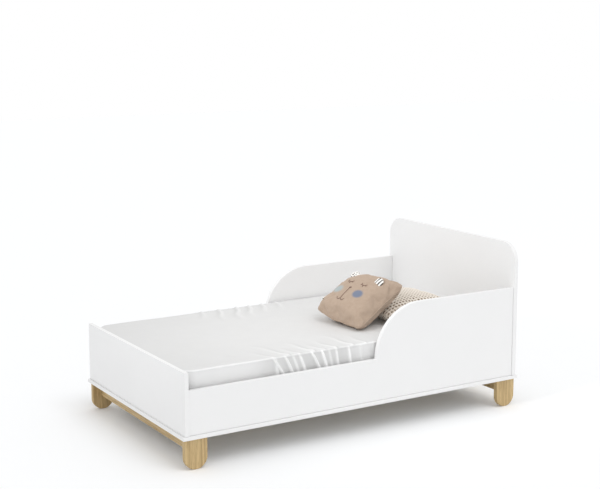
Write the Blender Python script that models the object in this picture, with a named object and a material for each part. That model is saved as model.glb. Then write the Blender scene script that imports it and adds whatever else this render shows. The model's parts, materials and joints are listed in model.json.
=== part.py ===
"""Toddler bed: white lacquered panels on two wooden leg frames, with its mattress and cushions.

Units are metres, +Z is up, +X runs from the foot end to the headboard, and -Y is the bed's right side.
The origin lies on the floor under the middle of the base.
"""

import math

import bmesh
import bpy
from mathutils import Matrix, Vector
from mathutils.bvhtree import BVHTree

# ---- Driving dimensions ---------------------------------------------------------------------

# Mattress, and the room that the bed leaves round it
MATTRESS_LENGTH = 1.300
MATTRESS_WIDTH = 0.700
MATTRESS_THICKNESS = 0.120
MATTRESS_CORNER_RADIUS = 0.040
MATTRESS_EDGE_RADIUS = 0.016
MATTRESS_END_ROOM = 0.005
MATTRESS_SIDE_ROOM = 0.015
SHEET_THICKNESS = 0.0015
SHEET_HEM_HEIGHT = 0.008

# Panels
PANEL_THICKNESS = 0.015
PANEL_EDGE_RADIUS = 0.0015
FOOTBOARD_HEIGHT = 0.205
HEADBOARD_HEIGHT = 0.488
HEADBOARD_CORNER_RADIUS = 0.070
LOW_RAIL_HEIGHT = 0.145
GUARD_RISE = 0.181
GUARD_LENGTH = 0.600
END_PANEL_OVERHANG = 0.005

# Base frame under the panels
BASE_THICKNESS = 0.012
BASE_BOARD_WIDTH = 0.090
BASE_END_LIP = 0.007
BASE_SIDE_LIP = 0.008

# Leg frames
LEG_HEIGHT = 0.100
LEG_WIDTH = 0.080
LEG_THICKNESS = 0.018
LEG_FLAT = 0.008
LEG_EDGE_RADIUS = 0.002
LEG_END_INSET = 0.008
LEG_SIDE_INSET = 0.009
CROSS_RAIL_THICKNESS = 0.018
CROSS_RAIL_HEIGHT = 0.050

# Slatted deck
DECK_HEIGHT = 0.078
SLAT_COUNT = 10
SLAT_WIDTH = 0.070
SLAT_THICKNESS = 0.012
SLAT_END_ROOM = 0.002
SLAT_FIRST_GAP = 0.030
CLEAT_WIDTH = 0.020
CLEAT_HEIGHT = 0.025
CLEAT_END_ROOM = 0.010

# Cushions: the face cushion leans on the edge of the waffle cushion, which lies flat
FACE_CUSHION_SIZE = 0.250
FACE_CUSHION_THICKNESS = 0.100
FACE_CUSHION_TILT = 32.0
FACE_CUSHION_TURN = 6.0
FACE_CUSHION_ROLL = 3.0
FACE_CUSHION_FROM_HEAD = 0.478
FACE_CUSHION_SIDE = -0.094
WAFFLE_CUSHION_SIZE = 0.320
WAFFLE_CUSHION_THICKNESS = 0.082
WAFFLE_CUSHION_SIDE = -0.060
CUSHION_SEAM = 0.004
CUSHION_DRAW_IN = 0.02
CUSHION_CORNER_POWER = 7

# Joint hardware
CAM_RADIUS = 0.0072
CAM_BACK_WALL = 0.0024
CAM_SETBACK = 0.034
CAM_BORE_RADIUS = 0.0040
BOLT_THREAD_RADIUS = 0.0025
BOLT_THREAD_LENGTH = 0.010
BOLT_COLLAR_RADIUS = 0.0035
BOLT_COLLAR_LENGTH = 0.003
BOLT_SHANK_RADIUS = 0.0020
BOLT_HEAD_RADIUS = 0.0030
DOWEL_RADIUS = 0.0040
DOWEL_IN_RAIL = 0.020
DOWEL_IN_PANEL = 0.010
SCREW_LENGTH = 0.037
SCREW_SHANK_RADIUS = 0.0021
SCREW_HEAD_RADIUS = 0.0045
SCREW_HEAD_HEIGHT = 0.0035
SCREW_SOCKET_RADIUS = 0.0018

# Heights of the fittings above the base, at the low foot joint and at the tall head joint
FOOT_CAM_HEIGHTS = {"lower": 0.036, "upper": 0.110}
FOOT_DOWEL_HEIGHT = 0.073
HEAD_CAM_HEIGHTS = {"lower": 0.036, "upper": 0.165}
HEAD_DOWEL_HEIGHT = 0.260

# Clearances
TOUCH = 0.0003
CUSHION_TOUCH = 0.0005
BLIND_ROOM = 0.0006
MOUTH = 0.002

# Smoothness of round shapes
GUARD_STEPS = 24
CORNER_STEPS = 14
LEG_STEPS = 14
MATTRESS_STEPS = 6
MATTRESS_EDGE_STEPS = 4
ROUND_SIDES = 16
SMALL_SIDES = 8
CUSHION_STEPS = 12
SLIDE_STEPS = 16
SMOOTH_BELOW = math.radians(30)
ROUND_ABOVE = math.radians(60)

# ---- Derived places -------------------------------------------------------------------------

INNER_LENGTH = MATTRESS_LENGTH + 2 * MATTRESS_END_ROOM
INNER_WIDTH = MATTRESS_WIDTH + 2 * MATTRESS_SIDE_ROOM
PANEL_END = INNER_LENGTH / 2 + PANEL_THICKNESS
RAIL_OUTER = INNER_WIDTH / 2 + PANEL_THICKNESS
RAIL_MIDDLE = INNER_WIDTH / 2 + PANEL_THICKNESS / 2
PANEL_MIDDLE = INNER_LENGTH / 2 + PANEL_THICKNESS / 2
END_PANEL_WIDTH = 2 * (RAIL_OUTER + END_PANEL_OVERHANG)
BASE_LENGTH = 2 * (PANEL_END + BASE_END_LIP)
BASE_WIDTH = 2 * (RAIL_OUTER + BASE_SIDE_LIP)
BASE_TOP = LEG_HEIGHT + BASE_THICKNESS
PANEL_FOOT = BASE_TOP + TOUCH
LOW_RAIL_TOP = BASE_TOP + LOW_RAIL_HEIGHT
GUARD_TOP = LOW_RAIL_TOP + GUARD_RISE
DECK_TOP = BASE_TOP + DECK_HEIGHT
SLAT_UNDERSIDE = DECK_TOP - SLAT_THICKNESS
MATTRESS_BOTTOM = DECK_TOP + TOUCH
MATTRESS_TOP = MATTRESS_BOTTOM + MATTRESS_THICKNESS
SHEET_TOP = MATTRESS_TOP + TOUCH + SHEET_THICKNESS
LEG_MIDDLE_X = BASE_LENGTH / 2 - LEG_END_INSET - LEG_WIDTH / 2
LEG_INNER_Y = BASE_WIDTH / 2 - LEG_SIDE_INSET - LEG_THICKNESS
BASE_BOARD_INNER_Y = BASE_WIDTH / 2 - BASE_BOARD_WIDTH
CAM_LENGTH = PANEL_THICKNESS - CAM_BACK_WALL - TOUCH

SIDES = {"right": -1, "left": 1}
ENDS = {"foot": -1, "head": 1}


# ---- Scene and materials --------------------------------------------------------------------

for old in list(bpy.data.objects):
    bpy.data.objects.remove(old, do_unlink=True)


def make_material(name, colour, roughness, metallic=0.0):
    """A plain Principled material."""
    material = bpy.data.materials.new(name)
    material.use_nodes = True
    shader = material.node_tree.nodes["Principled BSDF"]
    shader.inputs["Base Color"].default_value = (*colour, 1.0)
    shader.inputs["Roughness"].default_value = roughness
    shader.inputs["Metallic"].default_value = metallic
    return material


LACQUER = make_material("white_lacquer", (0.82, 0.82, 0.82), 0.35)
OAK = make_material("pale_oak", (0.52, 0.36, 0.20), 0.55)
PINE = make_material("pine", (0.62, 0.48, 0.30), 0.60)
FOAM = make_material("mattress_ticking", (0.80, 0.79, 0.76), 0.90)
COTTON = make_material("white_cotton", (0.80, 0.80, 0.77), 0.90)
VELOUR = make_material("beige_velour", (0.48, 0.36, 0.26), 0.90)
WAFFLE = make_material("cream_waffle", (0.66, 0.58, 0.48), 0.95)
ZINC = make_material("zinc", (0.70, 0.70, 0.72), 0.35, 1.0)
BEECH = make_material("beech", (0.66, 0.50, 0.33), 0.60)


# ---- Modelling helpers ----------------------------------------------------------------------

def add_object(name, bm, material):
    """Puts a finished bmesh into the scene as one object, smooth across its shallow edges."""
    bmesh.ops.recalc_face_normals(bm, faces=bm.faces)
    mesh = bpy.data.meshes.new(name)
    bm.to_mesh(mesh)
    bm.free()
    mesh.shade_smooth()
    mesh.set_sharp_from_angle(angle=SMOOTH_BELOW)
    mesh.materials.append(material)
    obj = bpy.data.objects.new(name, mesh)
    bpy.context.scene.collection.objects.link(obj)
    return obj


def round_edges(bm, radius, steps):
    """Rounds every outward edge that is sharper than the limit."""
    sharp = [edge for edge in bm.edges if edge.calc_face_angle_signed(0.0) > ROUND_ABOVE]
    bmesh.ops.bevel(
        bm, geom=sharp, offset=radius, offset_type="OFFSET", segments=steps,
        profile=0.5, affect="EDGES", clamp_overlap=True,
    )


def prism(outline, start, end, plane):
    """A closed prism: a 2-D outline in the named plane, run from start to end along the third axis."""
    place = {
        "XZ": lambda u, v, w: Vector((u, w, v)),
        "YZ": lambda u, v, w: Vector((w, u, v)),
        "XY": lambda u, v, w: Vector((u, v, w)),
    }[plane]
    bm = bmesh.new()
    low = [bm.verts.new(place(u, v, start)) for u, v in outline]
    high = [bm.verts.new(place(u, v, end)) for u, v in outline]
    bm.faces.new(reversed(low))
    bm.faces.new(high)
    for i in range(len(outline)):
        j = (i + 1) % len(outline)
        bm.faces.new((low[i], low[j], high[j], high[i]))
    bmesh.ops.recalc_face_normals(bm, faces=bm.faces)
    return bm


def arc(centre, radius, start, end, steps):
    """Points along an arc, angles in degrees, both ends included."""
    points = []
    for i in range(steps + 1):
        angle = math.radians(start + (end - start) * i / steps)
        points.append((centre[0] + radius * math.cos(angle), centre[1] + radius * math.sin(angle)))
    return points


def board(name, outline, start, end, plane, material, radius=PANEL_EDGE_RADIUS, steps=2):
    """A board with eased edges."""
    bm = prism(outline, start, end, plane)
    round_edges(bm, radius, steps)
    return add_object(name, bm, material)


def rectangle(u0, v0, u1, v1):
    """Outline of an upright rectangle."""
    return [(u0, v0), (u1, v0), (u1, v1), (u0, v1)]


def turned(name, profile, start, direction, sides, material):
    """A turned piece: (distance, radius) pairs along a line that starts at a point."""
    axis = Vector(direction).normalized()
    turn = axis.to_track_quat("Z", "Y").to_matrix()
    bm = bmesh.new()
    rings = []
    for distance, radius in profile:
        ring = []
        for i in range(sides):
            angle = 2 * math.pi * i / sides
            spoke = turn @ Vector((radius * math.cos(angle), radius * math.sin(angle), distance))
            ring.append(bm.verts.new(Vector(start) + spoke))
        rings.append(ring)
    bm.faces.new(reversed(rings[0]))
    bm.faces.new(rings[-1])
    for low, high in zip(rings, rings[1:]):
        for i in range(sides):
            j = (i + 1) % sides
            bm.faces.new((low[i], low[j], high[j], high[i]))
    return add_object(name, bm, material)


def as_cutter(obj):
    """Turns an object into a hidden cutter."""
    obj.hide_render = True
    obj.display_type = "WIRE"
    return obj


def cut(obj, cutter):
    """Takes a cutter's shape out of an object."""
    modifier = obj.modifiers.new("cut_" + cutter.name, "BOOLEAN")
    modifier.operation = "DIFFERENCE"
    modifier.object = cutter


def bore(targets, start, direction, radius, depth, sides=ROUND_SIDES):
    """Drills a blind hole into the targets, starting a little way outside its mouth."""
    profile = [(-MOUTH, radius), (depth, radius)]
    cutter = as_cutter(turned("drill", profile, start, direction, sides, LACQUER))
    for target in targets:
        cut(target, cutter)


# ---- Panels ---------------------------------------------------------------------------------

def make_headboard():
    """Headboard with two large rounded top corners."""
    half = END_PANEL_WIDTH / 2
    top = BASE_TOP + HEADBOARD_HEIGHT
    radius = HEADBOARD_CORNER_RADIUS
    outline = [(-half, PANEL_FOOT), (half, PANEL_FOOT)]
    outline += arc((half - radius, top - radius), radius, 0, 90, CORNER_STEPS)
    outline += arc((-half + radius, top - radius), radius, 90, 180, CORNER_STEPS)
    return board("headboard", outline, INNER_LENGTH / 2, PANEL_END, "YZ", LACQUER)


def make_footboard():
    """Low square footboard."""
    half = END_PANEL_WIDTH / 2
    outline = rectangle(-half, PANEL_FOOT, half, BASE_TOP + FOOTBOARD_HEIGHT)
    return board("footboard", outline, -PANEL_END, -INNER_LENGTH / 2, "YZ", LACQUER)


def make_side_rail(side):
    """Side rail: low at the foot end, sweeping up through a quarter circle to the guard."""
    end = INNER_LENGTH / 2 - TOUCH
    guard_start = INNER_LENGTH / 2 - GUARD_LENGTH
    outline = [(-end, PANEL_FOOT), (end, PANEL_FOOT), (end, GUARD_TOP)]
    sweep_centre = (guard_start + GUARD_RISE, LOW_RAIL_TOP)
    outline += arc(sweep_centre, GUARD_RISE, 90, 180, GUARD_STEPS)
    outline.append((-end, LOW_RAIL_TOP))
    faces = sorted((SIDES[side] * INNER_WIDTH / 2, SIDES[side] * RAIL_OUTER))
    return board("side_rail_" + side, outline, faces[0], faces[1], "XZ", LACQUER)


headboard = make_headboard()
footboard = make_footboard()
end_panels = {"foot": footboard, "head": headboard}
side_rails = {side: make_side_rail(side) for side in SIDES}


# ---- Base frame -----------------------------------------------------------------------------

def make_base_board(name, x0, y0, x1, y1):
    """One flat board of the frame under the panels."""
    return board(name, rectangle(x0, y0, x1, y1), LEG_HEIGHT, BASE_TOP, "XY", LACQUER)


base_boards = {}
for side, sign in SIDES.items():
    y_edges = sorted((sign * BASE_BOARD_INNER_Y, sign * BASE_WIDTH / 2))
    base_boards[side] = make_base_board(
        "base_board_" + side, -BASE_LENGTH / 2, y_edges[0], BASE_LENGTH / 2, y_edges[1])
for end, sign in ENDS.items():
    x_edges = sorted((sign * (BASE_LENGTH / 2 - BASE_BOARD_WIDTH), sign * BASE_LENGTH / 2))
    short_end = BASE_BOARD_INNER_Y - TOUCH
    base_boards[end] = make_base_board(
        "base_board_" + end, x_edges[0], -short_end, x_edges[1], short_end)


# ---- Leg frames -----------------------------------------------------------------------------

def leg_outline(middle):
    """Tongue shape: square top, half-round foot with a narrow flat that it stands on."""
    radius = LEG_WIDTH / 2
    centre_height = math.sqrt(radius ** 2 - (LEG_FLAT / 2) ** 2)
    flat_angle = math.degrees(math.asin(LEG_FLAT / 2 / radius))
    top = LEG_HEIGHT - TOUCH
    outline = [(middle + radius, top), (middle - radius, top)]
    outline += arc((middle, centre_height), radius, 180, 270 - flat_angle, LEG_STEPS)
    outline += arc((middle, centre_height), radius, 270 + flat_angle, 360, LEG_STEPS)
    return outline


def make_leg(end, side):
    """One leg, cut from a flat board."""
    outer = SIDES[side] * (LEG_INNER_Y + LEG_THICKNESS)
    faces = sorted((SIDES[side] * LEG_INNER_Y, outer))
    outline = leg_outline(ENDS[end] * LEG_MIDDLE_X)
    name = "leg_" + end + "_" + side
    return board(name, outline, faces[0], faces[1], "XZ", OAK, LEG_EDGE_RADIUS)


def make_cross_rail(end):
    """Upright board that joins the two legs of one end."""
    middle = ENDS[end] * LEG_MIDDLE_X
    half = CROSS_RAIL_THICKNESS / 2
    top = LEG_HEIGHT - TOUCH
    outline = rectangle(middle - half, LEG_HEIGHT - CROSS_RAIL_HEIGHT, middle + half, top)
    reach = LEG_INNER_Y - TOUCH
    return board("cross_rail_" + end, outline, -reach, reach, "XZ", OAK, LEG_EDGE_RADIUS)


for end in ENDS:
    for side in SIDES:
        make_leg(end, side)
cross_rails = {end: make_cross_rail(end) for end in ENDS}


# ---- Slatted deck ---------------------------------------------------------------------------

def make_cleat(side):
    """Batten along the inside of a side rail, which the slats lie on."""
    inner = INNER_WIDTH / 2 - TOUCH
    faces = sorted((SIDES[side] * inner, SIDES[side] * (inner - CLEAT_WIDTH)))
    top = SLAT_UNDERSIDE - TOUCH
    reach = INNER_LENGTH / 2 - CLEAT_END_ROOM
    outline = rectangle(-reach, top - CLEAT_HEIGHT, reach, top)
    return board("slat_cleat_" + side, outline, faces[0], faces[1], "XZ", PINE, steps=1)


def make_slat(number, middle):
    """One flat slat across the bed."""
    half_length = INNER_WIDTH / 2 - SLAT_END_ROOM
    half_width = SLAT_WIDTH / 2
    outline = rectangle(middle - half_width, -half_length, middle + half_width, half_length)
    return board(f"slat_{number:02d}", outline, SLAT_UNDERSIDE, DECK_TOP, "XY", PINE, steps=1)


for side in SIDES:
    make_cleat(side)
first_slat = -INNER_LENGTH / 2 + SLAT_FIRST_GAP + SLAT_WIDTH / 2
slat_pitch = -2 * first_slat / (SLAT_COUNT - 1)
for i in range(SLAT_COUNT):
    make_slat(i + 1, first_slat + i * slat_pitch)


# ---- Mattress and fitted sheet --------------------------------------------------------------

def mattress_ring(bm, spread, inset, height):
    """One level ring round the mattress, spread outwards and then drawn in by an inset."""
    half_x = MATTRESS_LENGTH / 2 + spread - inset
    half_y = MATTRESS_WIDTH / 2 + spread - inset
    radius = MATTRESS_CORNER_RADIUS + spread - inset
    points = []
    for corner, (sx, sy) in enumerate(((1, 1), (-1, 1), (-1, -1), (1, -1))):
        centre = (sx * (half_x - radius), sy * (half_y - radius))
        points += arc(centre, radius, 90 * corner, 90 * corner + 90, MATTRESS_STEPS)
    return [bm.verts.new((x, y, height)) for x, y in points]


def bridge(bm, low, high):
    """Closes the band between two rings of the same count."""
    for i in range(len(low)):
        j = (i + 1) % len(low)
        bm.faces.new((low[i], low[j], high[j], high[i]))


def mattress_rings(bm, spread, top, bottom, rounded_bottom):
    """Rings from the bottom to the top, with a quarter-round edge at the top and, if asked, below."""
    radius = MATTRESS_EDGE_RADIUS + spread
    turns = [math.radians(90 * i / MATTRESS_EDGE_STEPS) for i in range(MATTRESS_EDGE_STEPS + 1)]
    rings = []
    if rounded_bottom:
        for turn in reversed(turns):
            inset = radius * (1 - math.cos(turn))
            rings.append(mattress_ring(bm, spread, inset, bottom + radius * (1 - math.sin(turn))))
    else:
        rings.append(mattress_ring(bm, spread, 0.0, bottom))
    for turn in turns:
        inset = radius * (1 - math.cos(turn))
        rings.append(mattress_ring(bm, spread, inset, top - radius * (1 - math.sin(turn))))
    for low, high in zip(rings, rings[1:]):
        bridge(bm, low, high)
    return rings


def make_mattress():
    """Foam mattress with rounded corners and edges."""
    bm = bmesh.new()
    rings = mattress_rings(bm, 0.0, MATTRESS_TOP, MATTRESS_BOTTOM, True)
    bm.faces.new(reversed(rings[0]))
    bm.faces.new(rings[-1])
    return add_object("mattress", bm, FOAM)


def make_sheet():
    """Fitted sheet: a thin cover over the top and down the sides, open underneath."""
    bm = bmesh.new()
    hem = MATTRESS_BOTTOM + SHEET_HEM_HEIGHT
    inner = mattress_rings(bm, TOUCH, MATTRESS_TOP + TOUCH, hem, False)
    outer = mattress_rings(bm, TOUCH + SHEET_THICKNESS, SHEET_TOP, hem, False)
    bm.faces.new(inner[-1])
    bm.faces.new(outer[-1])
    bridge(bm, inner[0], outer[0])
    return add_object("fitted_sheet", bm, COTTON)


make_mattress()
make_sheet()


# ---- Cushions -------------------------------------------------------------------------------

def corner_share(u, v):
    """How far a point of the square comes in, so that the square's corners are rounded."""
    largest = max(abs(u), abs(v))
    if largest == 0:
        return 1.0
    power = CUSHION_CORNER_POWER
    return largest / (abs(u) ** power + abs(v) ** power) ** (1 / power)


def cushion_mesh(size, thickness):
    """Square cushion: full in the middle, thin at the seam, with rounded corners."""
    bm = bmesh.new()
    count = CUSHION_STEPS
    seam = CUSHION_SEAM / 2
    layers = []
    for face in (-1, 1):
        grid = []
        for i in range(count + 1):
            row = []
            for j in range(count + 1):
                u = math.sin(math.pi / 2 * (2 * i / count - 1))
                v = math.sin(math.pi / 2 * (2 * j / count - 1))
                fullness = math.sqrt((1 - u ** 4) * (1 - v ** 4))
                reach = size / 2 * corner_share(u, v)
                x = reach * u * (1 - CUSHION_DRAW_IN * (1 - v * v))
                y = reach * v * (1 - CUSHION_DRAW_IN * (1 - u * u))
                z = face * (seam + (thickness / 2 - seam) * fullness)
                row.append(bm.verts.new((x, y, z)))
            grid.append(row)
        for i in range(count):
            for j in range(count):
                bm.faces.new((grid[i][j], grid[i + 1][j], grid[i + 1][j + 1], grid[i][j + 1]))
        rim = grid[0][:-1] + [row[-1] for row in grid[:-1]]
        rim += grid[-1][:0:-1] + [row[0] for row in grid[:0:-1]]
        layers.append(rim)
    bridge(bm, layers[0], layers[1])
    return bm


def rest_on_sheet(bm, x, y):
    """Moves a cushion to its place, with its lowest point just clear of the sheet."""
    lowest = min(vert.co.z for vert in bm.verts)
    bmesh.ops.translate(bm, verts=bm.verts, vec=(x, y, SHEET_TOP + CUSHION_TOUCH - lowest))


def slide_under(bm, leaning, start, stop):
    """Slides a flat cushion along X, from start towards stop, until it meets the leaning one."""
    fixed = BVHTree.FromBMesh(leaning, epsilon=CUSHION_TOUCH)
    offset = 0.0
    for _ in range(SLIDE_STEPS):
        middle = (start + stop) / 2
        bmesh.ops.translate(bm, verts=bm.verts, vec=(middle - offset, 0, 0))
        offset = middle
        if BVHTree.FromBMesh(bm, epsilon=CUSHION_TOUCH).overlap(fixed):
            stop = middle
        else:
            start = middle
    bmesh.ops.translate(bm, verts=bm.verts, vec=(start - offset, 0, 0))


face_x = INNER_LENGTH / 2 - FACE_CUSHION_FROM_HEAD
face_bm = cushion_mesh(FACE_CUSHION_SIZE, FACE_CUSHION_THICKNESS)
face_turn = (
    Matrix.Rotation(math.radians(FACE_CUSHION_TURN), 4, "Z")
    @ Matrix.Rotation(math.radians(-FACE_CUSHION_TILT), 4, "Y")
    @ Matrix.Rotation(math.radians(FACE_CUSHION_ROLL), 4, "X")
)
bmesh.ops.transform(face_bm, matrix=face_turn, verts=face_bm.verts)
rest_on_sheet(face_bm, face_x, FACE_CUSHION_SIDE)

waffle_bm = cushion_mesh(WAFFLE_CUSHION_SIZE, WAFFLE_CUSHION_THICKNESS)
rest_on_sheet(waffle_bm, 0.0, WAFFLE_CUSHION_SIDE)
waffle_reach = (FACE_CUSHION_SIZE + WAFFLE_CUSHION_SIZE) / 2 + FACE_CUSHION_THICKNESS
slide_under(waffle_bm, face_bm, face_x + waffle_reach, face_x)
add_object("waffle_cushion", waffle_bm, WAFFLE)
add_object("face_cushion", face_bm, VELOUR)


# ---- Fittings between the rails and the end panels -------------------------------------------

def cross_recess(centre, direction):
    """Cutter for the cross-shaped screwdriver recess in a cam lock's face."""
    arm = 0.0036
    half = 0.0007
    outline = [
        (arm, -half), (arm, half), (half, half), (half, arm), (-half, arm), (-half, half),
        (-arm, half), (-arm, -half), (-half, -half), (-half, -arm), (half, -arm), (half, -half),
    ]
    outline = [(centre[0] + u, centre[2] + v) for u, v in outline]
    depths = sorted((centre[1] + direction * MOUTH, centre[1] - direction * MOUTH))
    return as_cutter(add_object("recess", prism(outline, depths[0], depths[1], "XZ"), ZINC))


def make_cam_joint(end, side, level, height):
    """Cam lock in the rail, and the bolt that it draws the end panel in with."""
    tag = end + "_" + side + "_" + level
    toward_panel = ENDS[end]
    outward = SIDES[side]
    z = BASE_TOP + height
    cam_x = toward_panel * (INNER_LENGTH / 2 - CAM_SETBACK)
    face_y = outward * INNER_WIDTH / 2
    cam_start = (cam_x, face_y + outward * TOUCH, z)
    chamfer = 0.0005
    profile = [
        (0.0, CAM_RADIUS - chamfer), (chamfer, CAM_RADIUS),
        (CAM_LENGTH - chamfer, CAM_RADIUS), (CAM_LENGTH, CAM_RADIUS - chamfer),
    ]
    cam = turned("cam_lock_" + tag, profile, cam_start, (0, outward, 0), ROUND_SIDES, ZINC)
    cut(cam, cross_recess(cam_start, outward))

    bolt_start = Vector((toward_panel * (INNER_LENGTH / 2 + BOLT_THREAD_LENGTH), outward * RAIL_MIDDLE, z))
    collar_end = BOLT_THREAD_LENGTH + TOUCH + BOLT_COLLAR_LENGTH
    reach = BOLT_THREAD_LENGTH + CAM_SETBACK
    tip = 0.0010
    head_back = reach - BOLT_HEAD_RADIUS
    bolt_profile = [
        (0.0, BOLT_THREAD_RADIUS - tip), (tip, BOLT_THREAD_RADIUS),
        (BOLT_THREAD_LENGTH + TOUCH, BOLT_THREAD_RADIUS),
        (BOLT_THREAD_LENGTH + TOUCH, BOLT_COLLAR_RADIUS), (collar_end, BOLT_COLLAR_RADIUS),
        (collar_end + tip, BOLT_SHANK_RADIUS), (head_back, BOLT_SHANK_RADIUS),
        (head_back + tip, BOLT_HEAD_RADIUS), (reach + tip, BOLT_HEAD_RADIUS),
        (reach + 2 * tip, BOLT_HEAD_RADIUS - tip),
    ]
    inward = (-toward_panel, 0, 0)
    turned("cam_bolt_" + tag, bolt_profile, bolt_start, inward, SMALL_SIDES, ZINC)

    rail = side_rails[side]
    pocket_start = (cam_x, face_y, z)
    bore([rail], pocket_start, (0, outward, 0), CAM_RADIUS + TOUCH, CAM_LENGTH + BLIND_ROOM)
    mouth = (toward_panel * INNER_LENGTH / 2, outward * RAIL_MIDDLE, z)
    bore([rail, cam], mouth, inward, CAM_BORE_RADIUS, reach - BOLT_THREAD_LENGTH + 3 * tip)
    thread_hole = BOLT_THREAD_RADIUS + TOUCH
    outwards = (toward_panel, 0, 0)
    bore([end_panels[end]], mouth, outwards, thread_hole, BOLT_THREAD_LENGTH + BLIND_ROOM)


def make_dowel(end, side, height):
    """Beech dowel that lines a rail up with an end panel."""
    toward_panel = ENDS[end]
    mouth = Vector((toward_panel * INNER_LENGTH / 2, SIDES[side] * RAIL_MIDDLE, BASE_TOP + height))
    inward = Vector((-toward_panel, 0, 0))
    length = DOWEL_IN_PANEL + DOWEL_IN_RAIL
    chamfer = 0.001
    profile = [
        (0.0, DOWEL_RADIUS - chamfer), (chamfer, DOWEL_RADIUS),
        (length - chamfer, DOWEL_RADIUS), (length, DOWEL_RADIUS - chamfer),
    ]
    start = mouth - inward * DOWEL_IN_PANEL
    turned("dowel_" + end + "_" + side, profile, start, inward, SMALL_SIDES, BEECH)
    radius = DOWEL_RADIUS + TOUCH
    bore([side_rails[side]], mouth, inward, radius, DOWEL_IN_RAIL + BLIND_ROOM, SMALL_SIDES)
    bore([end_panels[end]], mouth, -inward, radius, DOWEL_IN_PANEL + BLIND_ROOM, SMALL_SIDES)


for side in SIDES:
    for level, height in FOOT_CAM_HEIGHTS.items():
        make_cam_joint("foot", side, level, height)
    for level, height in HEAD_CAM_HEIGHTS.items():
        make_cam_joint("head", side, level, height)
    make_dowel("foot", side, FOOT_DOWEL_HEIGHT)
    make_dowel("head", side, HEAD_DOWEL_HEIGHT)


# ---- Countersunk screws ---------------------------------------------------------------------

def make_screw(name, mouth, direction, base_board, held):
    """Countersunk screw through a base board into the piece that it holds, with its two holes."""
    axis = Vector(direction)
    start = Vector(mouth) + axis * TOUCH
    tip = 0.0015
    land = 0.0005
    profile = [
        (0.0, SCREW_HEAD_RADIUS), (land, SCREW_HEAD_RADIUS),
        (SCREW_HEAD_HEIGHT, SCREW_SHANK_RADIUS), (SCREW_LENGTH - tip, SCREW_SHANK_RADIUS),
        (SCREW_LENGTH, SCREW_SHANK_RADIUS - tip),
    ]
    screw = turned(name, profile, start, direction, SMALL_SIDES, ZINC)
    socket_depth = SCREW_HEAD_HEIGHT - TOUCH - tip / 2
    hexagon = [(-MOUTH, SCREW_SOCKET_RADIUS), (socket_depth, SCREW_SOCKET_RADIUS)]
    cut(screw, as_cutter(turned("socket", hexagon, start, direction, 6, ZINC)))
    sink = [
        (-MOUTH, SCREW_HEAD_RADIUS + TOUCH), (land + 2 * TOUCH, SCREW_HEAD_RADIUS + TOUCH),
        (SCREW_HEAD_HEIGHT + 2 * TOUCH, SCREW_SHANK_RADIUS + TOUCH),
        (BASE_THICKNESS + MOUTH, SCREW_SHANK_RADIUS + TOUCH),
    ]
    cut(base_board, as_cutter(turned("sink", sink, mouth, direction, SMALL_SIDES, ZINC)))
    depth = SCREW_LENGTH - BASE_THICKNESS + BLIND_ROOM
    far_face = Vector(mouth) + axis * BASE_THICKNESS
    bore([held], far_face, direction, SCREW_SHANK_RADIUS + TOUCH, depth, SMALL_SIDES)


for side, sign in SIDES.items():
    for end, along in ENDS.items():
        rail_place = (along * BASE_LENGTH / 4, sign * RAIL_MIDDLE, LEG_HEIGHT)
        make_screw(f"base_screw_{side}_{end}", rail_place, (0, 0, 1), base_boards[side], side_rails[side])
for end, along in ENDS.items():
    panel_place = (along * PANEL_MIDDLE, 0.0, LEG_HEIGHT)
    make_screw("base_screw_" + end, panel_place, (0, 0, 1), base_boards[end], end_panels[end])
    for side, sign in SIDES.items():
        frame_place = (along * LEG_MIDDLE_X, sign * BASE_WIDTH / 4, BASE_TOP)
        make_screw(f"leg_screw_{end}_{side}", frame_place, (0, 0, -1), base_boards[end], cross_rails[end])
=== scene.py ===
"""Toddler bed of white lacquered boards on pale oak leg frames, made up with a mattress,
a fitted sheet and two cushions. Everything is in metres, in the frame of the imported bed.
"""

import json
import math

import bmesh
import bpy
import numpy as np
from mathutils import Matrix, Vector, noise
from mathutils.bvhtree import BVHTree

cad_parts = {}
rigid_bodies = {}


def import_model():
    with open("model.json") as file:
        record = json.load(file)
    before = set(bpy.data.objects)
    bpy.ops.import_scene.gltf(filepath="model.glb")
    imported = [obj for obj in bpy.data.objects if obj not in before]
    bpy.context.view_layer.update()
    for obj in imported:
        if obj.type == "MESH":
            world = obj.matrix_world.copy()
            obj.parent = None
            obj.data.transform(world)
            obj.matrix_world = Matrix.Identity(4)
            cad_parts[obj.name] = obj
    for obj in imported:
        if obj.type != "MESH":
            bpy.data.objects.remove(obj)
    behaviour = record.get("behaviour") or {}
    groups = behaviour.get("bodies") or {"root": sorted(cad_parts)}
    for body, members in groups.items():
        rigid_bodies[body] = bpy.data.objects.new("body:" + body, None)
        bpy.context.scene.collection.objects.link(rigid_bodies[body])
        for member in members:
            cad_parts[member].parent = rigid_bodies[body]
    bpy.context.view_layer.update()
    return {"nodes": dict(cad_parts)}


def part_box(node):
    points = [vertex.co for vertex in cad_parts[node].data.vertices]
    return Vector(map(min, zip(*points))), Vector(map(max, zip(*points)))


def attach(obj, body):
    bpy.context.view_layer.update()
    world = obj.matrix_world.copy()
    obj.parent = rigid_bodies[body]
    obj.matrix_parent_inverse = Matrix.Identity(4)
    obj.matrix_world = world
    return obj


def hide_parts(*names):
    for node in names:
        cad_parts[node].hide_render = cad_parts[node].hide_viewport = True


for leftover in list(bpy.data.objects):
    bpy.data.objects.remove(leftover, do_unlink=True)
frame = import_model()
nodes = frame["nodes"]


# ==== Box of lacquered boards ================================================================
# Headboard, footboard and side rails are 15 mm MDF and the frame under them is 12 mm MDF. Their
# edges are eased with a small round-over bit, primed and sanded, and then everything is sprayed
# with white satin polyurethane lacquer.

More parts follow.
